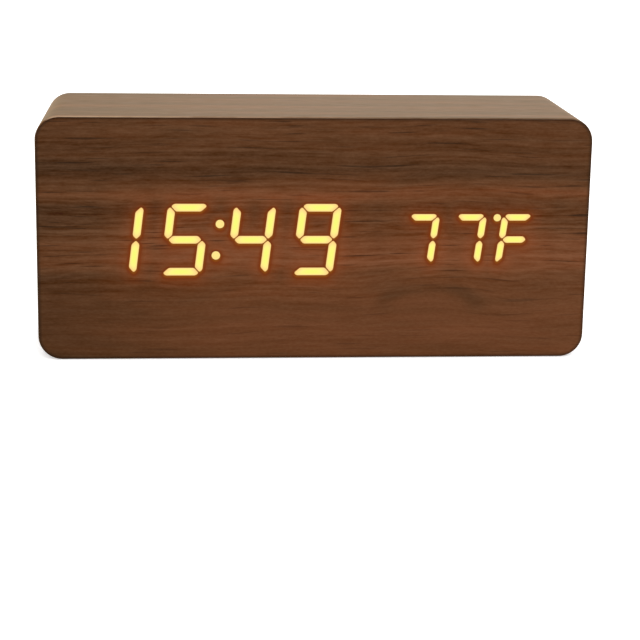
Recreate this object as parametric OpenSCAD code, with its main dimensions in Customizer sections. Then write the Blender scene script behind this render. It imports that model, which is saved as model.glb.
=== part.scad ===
// Digital alarm clock: a wood-grain sleeve with an LED display that shines through its front film.
// Millimetres, +Z up, the front faces -Y. The origin is the middle of the base.

/* [Case] */
// Width of the case
case_w = 150; // [144:1:190]
// Height of the case
case_h = 67; // [62:1:90]
// Depth of the case from the film to the rear edge
case_d = 45; // [43:1:60]
// Thickness of the film-faced board that the sleeve is folded from
case_wall = 5; // [4:0.5:6]
// Rounding of the four long corners
corner_r = 6.5; // [6:0.5:10]
// Thickness of the film over the front
film_t = 0.3; // [0.2:0.05:0.5]
// Thickness of the front board behind the film
board_t = 3; // [2:0.5:4]
// Side of the square glue blocks that take the cover's screws
block_w = 9; // [8:0.5:10]
// Length of the glue blocks
block_l = 14; // [12:1:20]

/* [Display] */
// Time shown, four figures
time_shown = "1549";
// Temperature shown, two figures and the scale
temp_shown = "77F";
// Middle of the time, from the left side of the case
time_in = 48.6; // [47:0.1:52]
// Width of a time figure
digit_w = 11.4; // [10:0.1:12]
// Height of a time figure
digit_h = 19.8; // [17:0.1:23]
// Width of a time segment
digit_stroke = 2.1; // [1.6:0.1:2.5]
// Distance from one time figure to the next
digit_pitch = 17.75; // [16.5:0.05:18.5]
// Diameter of a colon dot
colon_d = 2.3; // [1.8:0.1:2.8]
// Distance between the two colon dots
colon_rise = 8.7; // [6:0.1:11]
// Middle of the temperature, from the right side of the case
temp_in = 33.4; // [31:0.1:34]
// Width of a temperature figure
temp_w = 8.7; // [7.5:0.1:9.5]
// Height of a temperature figure
temp_h = 14.2; // [12:0.1:17]
// Width of a temperature segment
temp_stroke = 1.8; // [1.3:0.1:2]
// Distance from one temperature figure to the next
temp_pitch = 12.9; // [12.2:0.1:13]
// Diameter of the degree dot
degree_d = 2; // [1.5:0.1:2.4]
// Lean of the figures in degrees
lean = 7; // [0:0.5:10]
// Wall between two neighbouring segments
segment_gap = 0.3; // [0.25:0.05:0.6]
// Cut at the outer corners of a figure, in strokes
tip_cut = 0.38; // [0.15:0.01:0.42]
// Border of the reflector around the figures
panel_margin = 4; // [3.6:0.2:6]
// Thickness of the diffuser sheet
diffuser_t = 0.2; // [0.1:0.05:0.4]
// Depth of the reflector's cells
reflector_t = 6; // [5:0.5:8]
// Thickness of both circuit boards
pcb_t = 1.6; // [1:0.1:2]

/* [Rear cover] */
// Thickness of the rear cover
cover_t = 2; // [1.6:0.1:2.5]
// Distance of the cover's outer face from the rear edge of the sleeve
cover_recess = 1; // [0.8:0.1:2]
// Width of the ledge that the cover rests on
rebate = 2; // [1.5:0.1:3]
// Gap around the cover
cover_gap = 0.2; // [0.1:0.05:0.4]
// Length of the bosses between the cover and the control board
boss_l = 7; // [6.6:0.1:8]
// Diameter of the cover screws
cover_screw_d = 2.6; // [2.2:0.1:3]
// Length of the cover screws below the head
cover_screw_l = 10; // [8:0.5:11]
// Diameter of the small board screws
board_screw_d = 2; // [1.6:0.1:2.2]

/* [Batteries] */
// Diameter of an AAA cell
cell_d = 10.5; // [9.5:0.1:11]
// Length of an AAA cell with its nub
cell_l = 44.5; // [43:0.1:46]
// Play around a cell
cell_play = 0.3; // [0.2:0.05:0.5]
// Wall of the battery bay
bay_wall = 2.4; // [2.2:0.1:2.8]
// Thickness of the battery door
door_t = 1.8; // [1.5:0.1:2]
// Gap around the battery door
door_gap = 0.25; // [0.2:0.05:0.35]
// Sheet thickness of the contacts
contact_t = 0.4; // [0.3:0.05:0.6]
// Length of a pressed contact spring
spring_l = 5; // [4.6:0.1:6]
// Wire of a contact spring
spring_wire = 0.7; // [0.5:0.05:0.75]
// Diameter of a battery wire over its jacket
wire_d = 1.4; // [1:0.1:1.8]

/* [Controls] */
// Width of the control board
control_w = 40; // [38:1:46]
// Height of the control board
control_h = 40; // [39:1:46]
// Diameter of a button cap
cap_d = 6; // [5:0.2:7]
// Gap around a button cap
cap_gap = 0.25; // [0.2:0.05:0.4]
// Height of a button cap above the cover
cap_proud = 0.8; // [0.4:0.1:0.9]
// Distance between the buttons
button_pitch = 12; // [11:0.5:12]
// Travel of a button
press = 0.3; // [0.2:0.05:0.4]
// Width of the USB socket
usb_w = 7.5; // [7.3:0.1:8]
// Height of the USB socket
usb_h = 2.6; // [2.5:0.1:3]
// Width of the ribbon cable
ribbon_w = 8; // [6:1:10]
// Thickness of the ribbon cable
ribbon_t = 0.9; // [0.6:0.1:1.2]
// Height that the ribbon cable climbs from board to board
ribbon_rise = 12; // [9:0.5:14]

/* [Hidden] */
$fn = 48;

// Clearances
glue_gap = 0.1;
fit_gap = 0.05;
eps = 0.01;

// Stations along Y, counted from the film backwards
y_front = -case_d / 2;
y_board = y_front + film_t;
y_diffuser = y_board + board_t;
y_reflector = y_diffuser + diffuser_t;
y_display = y_reflector + reflector_t;
y_parts = y_display + pcb_t;

// Stations along Y, counted from the rear edge forwards
y_rear = case_d / 2;
y_cover_out = y_rear - cover_recess;
y_cover_in = y_cover_out - cover_t;
y_control = y_cover_in - boss_l;
y_control_front = y_control - pcb_t;
y_door_in = y_cover_out - door_t;
y_cell = y_door_in - cell_play - cell_d / 2;
y_floor = y_cell - cell_d / 2 - cell_play;

// Room inside the sleeve
inner_w = case_w - 2 * case_wall;
inner_h = case_h - 2 * case_wall;
inner_r = max(corner_r - case_wall, 0.5);
mid_z = case_h / 2;

// Display: middle of the time and of the temperature
time_x = time_in - case_w / 2;
temp_x = case_w / 2 - temp_in;

// Display faces: width and height between bar centres, and the stroke
time_face = [digit_w - digit_stroke, digit_h - digit_stroke, digit_stroke];
temp_face = [temp_w - temp_stroke, temp_h - temp_stroke, temp_stroke];
tip_gap = segment_gap * sqrt(0.5);
all_bars = "abcdefg";
glyph_keys = "0123456789CF";
glyph_bars = ["abcdef", "bc", "abdeg", "abcdg", "bcfg", "acdfg", "acdefg", "abc", "abcdefg", "abcdfg",
              "adef", "aefg"];
degree_rise = temp_h / 2 - degree_d / 2;
degree_x = temp_x + temp_pitch - temp_w / 2 - segment_gap - degree_d / 2 + degree_rise * tan(lean);
degree_z = mid_z + degree_rise;
time_reach = 1.5 * digit_pitch + digit_w / 2 + digit_h / 2 * tan(lean);
temp_reach = temp_pitch + temp_w / 2 + temp_h / 2 * tan(lean);
panel_w = 2 * (max(time_reach - time_x, temp_reach + temp_x) + panel_margin);
panel_h = max(digit_h, temp_h) + 2 * panel_margin;
panel_screw = 3;
board_head_h = 1.2;
display_bite = 4;
cover_bite = 4.5;
bite_room = 0.6;
led = [1.6, 0.8, 0.6];

// Cover and its screws
cover_w = inner_w + 2 * rebate - 2 * cover_gap;
cover_h = inner_h + 2 * rebate - 2 * cover_gap;
cover_r = inner_r + rebate - cover_gap;
screw_x = inner_w / 2 - block_w / 2;
screw_z = inner_h / 2 - block_w / 2;
head_d = 2 * cover_screw_d;
head_h = 1.4;
sink = 1.2;

// Battery bay: its right end leaves room for the wire beside the glue blocks
cell_step = cell_d + 2 * cell_play;
bay_l = cell_l + spring_l + 0.5 + 2 * contact_t;
bay_h = 3 * cell_step;
wire_room = 3.5;
bay_x = inner_w / 2 - block_w - wire_room - bay_wall - bay_l / 2;
bay_floor_t = 1.5;
door_lap = 1.2;
door_seat = 0.1;
door_w = bay_l + 2 * door_lap;
door_h = bay_h + 2 * door_lap;
hinge_x = bay_x - door_w / 2 - door_gap;
tab_w = 4;
tab_l = 2;
tab_t = 1.3;
tab_drop = y_cover_out - y_cover_in + 0.1;
plate_h = 7.6;
solder_l = 2;
solder_w = 1.8;
nub_d = 3.8;
nub_h = 0.8;

// Control board beside the battery bay
control_gap = 7;
bay_right = bay_x + bay_l / 2 + bay_wall;
bay_left = bay_x - bay_l / 2 - bay_wall;
control_x = bay_left - control_gap - control_w / 2;
boss_d = 6;
boss_in = 3.5;
boss_x = control_w / 2 - boss_in;
boss_z = control_h / 2 - boss_in;
button_z = mid_z + 9;
switch_w = 6;
switch_h = 3.5;
plunger_d = 3.5;
plunger_out = 1.5;
plunger_in = 0.8;
flange_gap = 0.1;
y_switch = y_control + switch_h;
y_plunger = y_switch + plunger_out;
flange_d = cap_d + 2;
usb_x = control_x - 10;
usb_z = mid_z - 9;
usb_wall = 0.3;
y_usb = y_cover_out - 0.4;
buzzer_x = control_x + 8;
buzzer_z = mid_z - 8;
buzzer_d = 12;
mic_x = control_x - 1.5;
mic_z = mid_z - 13.5;
mic_d = 6;
sensor_x = control_x - 1.5;
sensor_z = mid_z - 3.5;
capacitor_d = 5;
capacitor_l = 5.4;
capacitor_x = control_x + control_w / 2 - capacitor_d / 2 - 1;
capacitor_z = mid_z;

// Ribbon cable and its headers
ribbon_x = control_x + 8;
ribbon_r = 1.6;
header_w = ribbon_w + 4;
header_h = 5.8;
header_l = 4;
header_wall = 0.9;
plug_l = 5;
plug_in = 3.2;
plug_out = plug_l - plug_in;
ribbon_y0 = y_parts + header_l + plug_out;
ribbon_y1 = y_control_front - header_l - plug_out;
ribbon_z0 = mid_z - ribbon_rise / 2;
ribbon_z1 = mid_z + ribbon_rise / 2;

// Battery wires run in a plane of their own under the bay
wire_r = 3;
wire_pad_in = 3;
wire_pad_x = control_x + control_w / 2 - wire_pad_in;
wire_drop = 3;
wire_loop = 4.5;
positive_run = y_floor - bay_floor_t - wire_drop;
negative_run = y_control_front - wire_loop;
y_tag = y_cell - contact_t / 2;
positive_route = [[bay_right + solder_l / 2, y_tag, mid_z + cell_step],
                  [bay_right + solder_l / 2, positive_run, mid_z + cell_step],
                  [wire_pad_x, positive_run, mid_z + cell_step],
                  [wire_pad_x, y_control_front, mid_z + cell_step]];
negative_route = [[bay_left - solder_l / 2, y_tag, mid_z - cell_step],
                  [bay_left - solder_l / 2, negative_run, mid_z - cell_step],
                  [wire_pad_x, negative_run, mid_z - cell_step],
                  [wire_pad_x, y_control_front, mid_z - cell_step]];

// Contact spring: a cone of wire that narrows towards the cell
spring_turns = 3.25;
spring_rings = 8;
spring_foot_d = 7;
spring_tip_d = 5;

// Flat shape in X and Z given a thickness from y0 to y1
module slab(y0, y1) {
    translate([0, y1, 0])
        rotate([90, 0, 0])
            linear_extrude(y1 - y0)
                children();
}

// Round bar along Y from y0 to y1
module post(x, z, d, y0, y1) {
    translate([x, y0, z])
        rotate([-90, 0, 0])
            cylinder(d = d, h = y1 - y0);
}

// Box from y0 to y1, centred on x and z
module block(x, z, w, h, y0, y1) {
    translate([x - w / 2, y0, z - h / 2])
        cube([w, y1 - y0, h]);
}

// Rectangle with rounded corners, centred on the middle of the case
module rounded(w, h, r) {
    translate([0, mid_z]) {
        square([w - 2 * r, h], center = true);
        square([w, h - 2 * r], center = true);
        for (sx = [-1, 1], sz = [-1, 1])
            translate([sx * (w / 2 - r), sz * (h / 2 - r)])
                circle(r = r);
    }
}

// Seven-segment bars about the middle of a figure; f holds width, height and stroke
function top_bar(f) =
    let (x = f[0] / 2, z = f[1] / 2, k = f[2] / 2, c = tip_cut * f[2], e = tip_gap)
    [[2 * c - x - k, z + k], [x + k - 2 * c, z + k], [x + k - c - e / 2, z + k - c + e / 2],
     [x - k - e, z - k], [k + e - x, z - k], [c + e / 2 - x - k, z + k - c + e / 2]];
function side_bar(f) =
    let (x = f[0] / 2, z = f[1] / 2, k = f[2] / 2, c = tip_cut * f[2], e = tip_gap)
    [[x + k, z + k - 2 * c], [x + k - c + e / 2, z + k - c - e / 2], [x - k, z - k - e],
     [x - k, k + e], [x, e], [x + k, k + e]];
function middle_bar(f) =
    let (x = f[0] / 2 - tip_gap, k = f[2] / 2)
    [[-x, 0], [k - x, k], [x - k, k], [x, 0], [x - k, -k], [k - x, -k]];
function turned(points, sx, sz) = [for (p = points) [sx * p[0], sz * p[1]]];
function leaning(points) = [for (p = points) [p[0] + p[1] * tan(lean), p[1]]];
function bar(s, f) =
    s == "a" ? top_bar(f) :
    s == "b" ? side_bar(f) :
    s == "c" ? turned(side_bar(f), 1, -1) :
    s == "d" ? turned(top_bar(f), 1, -1) :
    s == "e" ? turned(side_bar(f), -1, -1) :
    s == "f" ? turned(side_bar(f), -1, 1) : middle_bar(f);
function bar_middle(s, f) =
    s == "a" ? [0, f[1] / 2] :
    s == "b" ? [f[0] / 2, f[1] / 4] :
    s == "c" ? [f[0] / 2, -f[1] / 4] :
    s == "d" ? [0, -f[1] / 2] :
    s == "e" ? [-f[0] / 2, -f[1] / 4] :
    s == "f" ? [-f[0] / 2, f[1] / 4] : [0, 0];
function upright(s) = len(search(s, "bcef")) > 0;
function bars(shown, i, only_lit) = only_lit ? glyph_bars[search(shown[i], glyph_keys)[0]] : all_bars;
function time_at(i) = [time_x + (i - 1.5) * digit_pitch, mid_z];
function temp_at(i) = [temp_x + (i - 1) * temp_pitch, mid_z];
function colon_at(s) = [time_x + s * colon_rise / 2 * tan(lean), mid_z + s * colon_rise / 2];

// Flat shapes of the display, the lit ones or all
module figures(only_lit) {
    for (i = [0:3], s = bars(time_shown, i, only_lit))
        translate(time_at(i))
            polygon(leaning(bar(s, time_face)));
    for (i = [0:2], s = bars(temp_shown, i, only_lit))
        translate(temp_at(i))
            polygon(leaning(bar(s, temp_face)));
    for (s = [-1, 1])
        translate(colon_at(s))
            circle(d = colon_d);
    translate([degree_x, degree_z])
        circle(d = degree_d);
}

// Display panel outline shared by the diffuser, the reflector and the display board
module panel() {
    translate([0, mid_z])
        square([panel_w, panel_h], center = true);
}

// Places of the display board's screws
module panel_corners() {
    for (sx = [-1, 1], sz = [-1, 1])
        translate([sx * (panel_w / 2 - panel_screw), mid_z + sz * (panel_h / 2 - panel_screw)])
            children();
}

// Pan-head screw with a cross recess, its head up and its seat at z = 0
module pan_screw(d, l, head, high) {
    difference() {
        union() {
            translate([0, 0, -l])
                cylinder(d = d, h = l + eps);
            cylinder(d = head, h = high);
        }
        for (a = [0, 90])
            rotate(a)
                translate([-head * 0.32, -head * 0.07, high * 0.45])
                    cube([head * 0.64, head * 0.14, high]);
    }
}

module case_sleeve() {
    color("#6b4528")
    difference() {
        slab(y_board, y_rear)
            difference() {
                rounded(case_w, case_h, corner_r);
                rounded(inner_w, inner_h, inner_r);
            }
        slab(y_cover_in, y_rear + 1)
            rounded(inner_w + 2 * rebate, inner_h + 2 * rebate, inner_r + rebate);
    }
}

module front_film() {
    color("#5e3b23")
    slab(y_front, y_board)
        difference() {
            rounded(case_w, case_h, corner_r);
            figures(true);
        }
}

// The film over each lit segment, flush with the film around it
module lit_segments() {
    color("#faf08e")
    slab(y_front, y_board)
        figures(true);
}

module front_board() {
    color("#a98358")
    slab(y_board, y_diffuser)
        difference() {
            rounded(inner_w - 2 * glue_gap, inner_h - 2 * glue_gap, inner_r);
            figures(false);
        }
}

module screw_blocks() {
    color("#a07a50")
    difference() {
        slab(y_cover_in - block_l, y_cover_in)
            intersection() {
                rounded(inner_w - glue_gap, inner_h - glue_gap, inner_r);
                for (sx = [-1, 1], sz = [-1, 1])
                    translate([sx * inner_w / 2, mid_z + sz * inner_h / 2])
                        square(2 * block_w, center = true);
            }
        for (sx = [-1, 1], sz = [-1, 1])
            post(sx * screw_x, mid_z + sz * screw_z, cover_screw_d + 2 * fit_gap,
                 y_cover_out - sink - cover_screw_l - 1, y_cover_in + 1);
    }
}

module diffuser_sheet() {
    color("#f2f0e6")
    slab(y_diffuser, y_reflector)
        panel();
}

module reflector() {
    color("#f7f7f2")
    difference() {
        slab(y_reflector, y_display)
            difference() {
                panel();
                figures(false);
            }
        slab(y_display - display_bite - bite_room, y_display + 1)
            panel_corners()
                circle(d = board_screw_d + 2 * fit_gap);
    }
}

module display_board() {
    color("#1f5a3a")
    slab(y_display, y_parts)
        difference() {
            panel();
            panel_corners()
                circle(d = board_screw_d + 0.4);
        }
}

module led_mark(place, turn) {
    translate(place)
        rotate(turn)
            square([led[0], led[1]], center = true);
}

// One LED in the middle of every cell
module segment_leds() {
    color("#f4e9b0")
    slab(y_display - led[2], y_display) {
        for (i = [0:3], s = all_bars)
            led_mark(time_at(i) + leaning([bar_middle(s, time_face)])[0], upright(s) ? 90 - lean : 0);
        for (i = [0:2], s = all_bars)
            led_mark(temp_at(i) + leaning([bar_middle(s, temp_face)])[0], upright(s) ? 90 - lean : 0);
        for (s = [-1, 1])
            led_mark(colon_at(s), 0);
        led_mark([degree_x, degree_z], 0);
    }
}

module display_screws() {
    color("#b9bbbd")
    for (sx = [-1, 1], sz = [-1, 1])
        translate([sx * (panel_w / 2 - panel_screw), y_parts, mid_z + sz * (panel_h / 2 - panel_screw)])
            rotate([-90, 0, 0])
                pan_screw(board_screw_d, pcb_t + display_bite, 2 * board_screw_d, board_head_h);
}

// Chips stand on the back of the display board; size is length, width and height
clock_in = 46;
clock_at = [panel_w / 2 - clock_in, mid_z];
clock_size = [18, 7.5, 2.4];
clock_pins = 14;
driver_in = 20;
driver_at = [panel_w / 2 - driver_in, mid_z];
driver_size = [15.4, 7.5, 2.4];
driver_pins = 12;

module chip(place, size) {
    color("#222326")
    block(place[0], place[1], size[0], size[1], y_parts + 0.2, y_parts + size[2]);
}

module clock_chip() {
    chip(clock_at, clock_size);
}

module driver_chip() {
    chip(driver_at, driver_size);
}

// Bent legs along both long sides of a chip
module legs(place, size, count) {
    for (i = [0:count - 1], s = [-1, 1])
        translate([place[0] + (i - (count - 1) / 2) * 1.27 - 0.2, y_parts, place[1]])
            rotate([0, 90, 0])
                linear_extrude(0.4)
                    scale([s, 1])
                        polygon([[size[1] / 2 + 0.02, 1.1], [size[1] / 2 + 0.7, 1.1], [size[1] / 2 + 0.9, 0],
                                 [size[1] / 2 + 1.5, 0], [size[1] / 2 + 1.5, 0.25], [size[1] / 2 + 1.15, 0.25],
                                 [size[1] / 2 + 0.9, 1.4], [size[1] / 2 + 0.02, 1.4]]);
}

module chip_pins() {
    color("#c9cbcc")
    union() {
        legs(clock_at, clock_size, clock_pins);
        legs(driver_at, driver_size, driver_pins);
    }
}

// Small parts beside the chips; a resistor's size is length, width and height
crystal_d = 2.2;
crystal_l = 6;
crystal_in = 62;
crystal_x = panel_w / 2 - crystal_in;
resistor = [2, 1.25, 0.5];
resistor_step = 4;
resistor_in = 16;
resistor_x = resistor_in - panel_w / 2;
resistor_rise = 8;

module quartz_crystal() {
    color("#c4c7ca")
    translate([crystal_x, y_parts + crystal_d / 2, mid_z - crystal_l / 2])
        cylinder(d = crystal_d, h = crystal_l);
}

module chip_resistors() {
    color("#2b2d31")
    for (i = [0:7])
        block(resistor_x + i * resistor_step, mid_z + resistor_rise, resistor[0], resistor[1],
              y_parts, y_parts + resistor[2]);
}

// Open box that a plug pushes into, standing on a board at y0 and opening towards y1
module header(x, z, y0, y1) {
    color("#ece6d4")
    difference() {
        block(x, z, header_w, header_h, min(y0, y1), max(y0, y1));
        if (y1 > y0)
            block(x, z, header_w - 2 * header_wall, header_h - 2 * header_wall, y1 - plug_in, y1 + 1);
        else
            block(x, z, header_w - 2 * header_wall, header_h - 2 * header_wall, y1 - 1, y1 + plug_in);
    }
}

module display_header() {
    header(ribbon_x, ribbon_z0, y_parts, y_parts + header_l);
}

module control_header() {
    header(ribbon_x, ribbon_z1, y_control_front, y_control_front - header_l);
}

module ribbon_plugs() {
    color("#f3efe2")
    union() {
        block(ribbon_x, ribbon_z0, header_w - 2 * header_wall - 2 * fit_gap,
              header_h - 2 * header_wall - 2 * fit_gap, ribbon_y0 - plug_l, ribbon_y0);
        block(ribbon_x, ribbon_z1, header_w - 2 * header_wall - 2 * fit_gap,
              header_h - 2 * header_wall - 2 * fit_gap, ribbon_y1, ribbon_y1 + plug_l);
    }
}

// Quarter bend of the ribbon's cross-section, opening to one quarter of the plane
module ribbon_bend(y, z, sy, sz) {
    translate([y, z])
        intersection() {
            difference() {
                circle(r = ribbon_r + ribbon_t / 2);
                circle(r = ribbon_r - ribbon_t / 2);
            }
            translate([sy > 0 ? 0 : -2 * ribbon_r, sz > 0 ? 0 : -2 * ribbon_r])
                square(2 * ribbon_r);
        }
}

// The ribbon leaves one plug straight, climbs between two bends and enters the other plug straight
module ribbon_cable() {
    reach = (ribbon_y1 - ribbon_y0) / 2;
    mid_y = (ribbon_y0 + ribbon_y1) / 2;
    color("#c8cacd")
    translate([ribbon_x - ribbon_w / 2, 0, 0])
        rotate([90, 0, 90])
            linear_extrude(ribbon_w) {
                translate([ribbon_y0, ribbon_z0 - ribbon_t / 2])
                    square([reach - ribbon_r, ribbon_t]);
                ribbon_bend(mid_y - ribbon_r, ribbon_z0 + ribbon_r, 1, -1);
                translate([mid_y - ribbon_t / 2, ribbon_z0 + ribbon_r])
                    square([ribbon_t, ribbon_rise - 2 * ribbon_r]);
                ribbon_bend(mid_y + ribbon_r, ribbon_z1 - ribbon_r, -1, 1);
                translate([mid_y + ribbon_r, ribbon_z1 - ribbon_t / 2])
                    square([reach - ribbon_r, ribbon_t]);
            }
}

// Places of the two tabs of the door, between the cells, in cell steps
tab_places = [-0.5, 0.5];

// Openings of the cover over the buzzer, the sound sensor and the heat sensor
module vents() {
    for (a = [0:60:300])
        translate([buzzer_x + 3.2 * cos(a), buzzer_z + 3.2 * sin(a)])
            circle(d = 1.4);
    translate([buzzer_x, buzzer_z])
        circle(d = 1.4);
    translate([mic_x, mic_z])
        circle(d = 1.6);
    for (i = [-1:1])
        translate([sensor_x, sensor_z + 2 * i])
            square([6, 1], center = true);
}

module rear_cover() {
    color("#26272a")
    difference() {
        union() {
            slab(y_cover_in, y_cover_out)
                rounded(cover_w, cover_h, cover_r);
            block(bay_x, mid_z, bay_l + 2 * bay_wall, bay_h + 2 * bay_wall,
                  y_floor - bay_floor_t, y_cover_in + eps);
            for (sx = [-1, 1], sz = [-1, 1])
                post(control_x + sx * boss_x, mid_z + sz * boss_z, boss_d, y_control, y_cover_in + eps);
        }
        block(bay_x, mid_z, bay_l, bay_h, y_floor, y_cover_out + 1);
        block(bay_x, mid_z, door_w + 2 * door_gap, door_h + 2 * door_gap, y_door_in - door_seat, y_cover_out + 1);
        for (t = tab_places) {
            block(hinge_x, mid_z + t * cell_step, 2 * tab_l + 0.8, tab_w + 0.6,
                  y_cover_in - tab_t - 2, y_cover_in);
            block(hinge_x + tab_l, mid_z + t * cell_step, 2 * tab_l, tab_w + 0.6,
                  y_cover_in - tab_t - 2, y_cover_out);
        }
        block(bay_x + door_w / 2 + door_gap, mid_z, 5, 12, y_cover_out - 0.8, y_cover_out + 1);
        for (s = [-1, 1])
            block(bay_x + s * (bay_l + bay_wall) / 2, mid_z + s * cell_step, bay_wall + 1,
                  solder_w + 0.4, y_cell - contact_t / 2 - 0.2, y_cell + contact_t / 2 + 0.2);
        for (sx = [-1, 1], sz = [-1, 1]) {
            post(sx * screw_x, mid_z + sz * screw_z, cover_screw_d + 0.4, y_cover_in - 1, y_cover_out + 1);
            post(sx * screw_x, mid_z + sz * screw_z, head_d + 0.4, y_cover_out - sink, y_cover_out + 1);
            post(control_x + sx * boss_x, mid_z + sz * boss_z, board_screw_d + 2 * fit_gap,
                 y_control - 1, y_control + cover_bite + bite_room);
        }
        for (i = [-1:1])
            post(control_x + i * button_pitch, button_z, cap_d + 2 * cap_gap, y_cover_in - 1, y_cover_out + 1);
        block(usb_x, usb_z, usb_w + 0.6, usb_h + 0.6, y_cover_in - 1, y_cover_out + 1);
        slab(y_cover_in - 1, y_cover_out + 1)
            vents();
    }
}

module cover_screws() {
    color("#3a3b3e")
    for (sx = [-1, 1], sz = [-1, 1])
        translate([sx * screw_x, y_cover_out - sink, mid_z + sz * screw_z])
            rotate([-90, 0, 0])
                pan_screw(cover_screw_d, cover_screw_l, head_d, head_h);
}

// Door with two hooked tabs at one end and a springy tongue between two slits at the other
module battery_door() {
    tongue_w = 10;
    tongue_l = 8;
    color("#26272a")
    difference() {
        union() {
            block(bay_x, mid_z, door_w, door_h, y_door_in, y_cover_out);
            for (t = tab_places) {
                block(hinge_x + door_gap + 0.75, mid_z + t * cell_step, 1.5, tab_w,
                      y_cover_out - tab_drop - tab_t, y_door_in + eps);
                block(hinge_x - tab_l / 2 + 0.5, mid_z + t * cell_step, tab_l + 1, tab_w,
                      y_cover_out - tab_drop - tab_t, y_cover_out - tab_drop);
            }
            block(bay_x + door_w / 2 + 0.05, mid_z, 0.2, tongue_w - 2, y_door_in, y_door_in + 0.7);
        }
        for (s = [-1, 1])
            block(bay_x + door_w / 2 - tongue_l / 2, mid_z + s * (tongue_w / 2 + 0.3), tongue_l + 0.02, 0.6,
                  y_door_in - 1, y_cover_out + 1);
        for (i = [0:2])
            block(bay_x + door_w / 2 - 2 - 1.6 * i, mid_z, 0.8, tongue_w - 3, y_cover_out - 0.5, y_cover_out + 1);
    }
}

// AAA cell along X with its nub at the end that s points to
module cell(place, s) {
    x0 = s > 0 ? bay_x - bay_l / 2 + contact_t + spring_l : bay_x + bay_l / 2 - contact_t - spring_l;
    color("#2f4d38")
    translate([x0, y_cell, mid_z + place * cell_step])
        rotate([0, s * 90, 0]) {
            cylinder(d = cell_d, h = cell_l - nub_h);
            cylinder(d = nub_d, h = cell_l);
        }
}

module cell_top() {
    cell(1, 1);
}

module cell_middle() {
    cell(0, -1);
}

module cell_bottom() {
    cell(-1, 1);
}

// Sheet at one end of the bay behind the cells from place p0 to place p1
module contact_sheet(s, p0, p1) {
    block(bay_x + s * (bay_l - contact_t) / 2, mid_z + (p0 + p1) / 2 * cell_step, contact_t,
          (p1 - p0) * cell_step + cell_d - 2, y_cell - plate_h / 2, y_cell + plate_h / 2 - 1.2);
}

// Raised dot that meets the nub of a cell
module contact_dot(s, place) {
    translate([bay_x + s * (bay_l / 2 - contact_t + eps), y_cell, mid_z + place * cell_step])
        rotate([0, -s * 90, 0])
            cylinder(d = 3, h = 0.5 + eps);
}

// Tag through the wall of the bay for the wire
module solder_tag(s) {
    block(bay_x + s * (bay_l / 2 + (bay_wall + solder_l) / 2 - eps), mid_z + s * cell_step,
          bay_wall + solder_l, solder_w, y_cell - contact_t / 2, y_cell + contact_t / 2);
}

module contact_plates() {
    color("#c8c6bd")
    union() {
        contact_sheet(1, 1, 1);
        contact_dot(1, 1);
        solder_tag(1);
        contact_sheet(1, -1, 0);
        contact_dot(1, -1);
        contact_sheet(-1, 0, 1);
        contact_dot(-1, 0);
        contact_sheet(-1, -1, -1);
        solder_tag(-1);
    }
}

// Frames along a path, each turned as little as possible from the one before it
function unit(v) = v / norm(v);
function heading(path, i) =
    unit(path[min(i + 1, len(path) - 1)] - path[max(i - 1, 0)]);
function across(v, t) = unit(v - (v * t) * t);
function sides(path, start) =
    [for (i = 0, v = across(start, heading(path, 0)); i < len(path);
          i = i + 1, v = i < len(path) ? across(v, heading(path, i)) : v) v];

// Round tube along a path, closed at both ends
module tube(path, r, n, start) {
    rows = len(path);
    u = sides(path, start);
    rings = [for (i = [0:rows - 1], j = [0:n - 1])
        let (a = 360 * j / n, w = cross(heading(path, i), u[i]))
        path[i] + r * (cos(a) * u[i] + sin(a) * w)];
    walls = [for (i = [0:rows - 2], j = [0:n - 1], k = [0, 1])
        let (p = i * n + j, q = i * n + (j + 1) % n)
        k == 0 ? [p, p + n, q] : [q, p + n, q + n]];
    foot = [for (j = [1:n - 2]) [0, j, j + 1]];
    tip = [for (j = [1:n - 2]) [(rows - 1) * n, (rows - 1) * n + j + 1, (rows - 1) * n + j]];
    polyhedron(rings, concat(foot, walls, tip));
}

// Path with every inner corner rounded by an arc of radius r
function rounded_path(p, r, steps) = concat([p[0]],
    [for (i = [1:len(p) - 2], k = [0:steps])
        let (a = unit(p[i - 1] - p[i]), b = unit(p[i + 1] - p[i]), t = 90 * k / steps)
        p[i] + r * (a + b) - r * (sin(t) * a + cos(t) * b)],
    [p[len(p) - 1]]);

function spring_path(s) = [for (i = [0:round(spring_turns * spring_rings)])
    let (f = i / round(spring_turns * spring_rings), a = 360 * i / spring_rings,
         d = spring_foot_d + (spring_tip_d - spring_foot_d) * f)
    [s * (spring_wire / 2 + f * (spring_l - spring_wire)), d / 2 * cos(a), d / 2 * sin(a)]];

// Clear distance between neighbouring turns of a spring
spring_points = spring_path(1);
spring_clear = min([for (i = [0:len(spring_points) - 1], j = [i + 5:1:len(spring_points) - 1])
    norm(spring_points[i] - spring_points[j])]) - spring_wire;
echo(spring_clear = spring_clear);

module spring(s, place) {
    translate([bay_x - s * (bay_l / 2 - contact_t), y_cell, mid_z + place * cell_step])
        tube(spring_path(s), spring_wire / 2, 6, [0, 1, 0]);
}

module contact_springs() {
    color("#d0d2d4")
    union() {
        spring(1, 1);
        spring(-1, 0);
        spring(1, -1);
    }
}

module positive_wire() {
    color("#b3231d")
    tube(rounded_path(positive_route, wire_r, 4), wire_d / 2, 8, [0, 0, 1]);
}

module negative_wire() {
    color("#1b1b1d")
    tube(rounded_path(negative_route, wire_r, 4), wire_d / 2, 8, [0, 0, 1]);
}

module control_board() {
    color("#1f5a3a")
    difference() {
        block(control_x, mid_z, control_w, control_h, y_control_front, y_control);
        for (sx = [-1, 1], sz = [-1, 1])
            post(control_x + sx * boss_x, mid_z + sz * boss_z, board_screw_d + 0.4,
                 y_control_front - 1, y_control + 1);
    }
}

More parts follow.
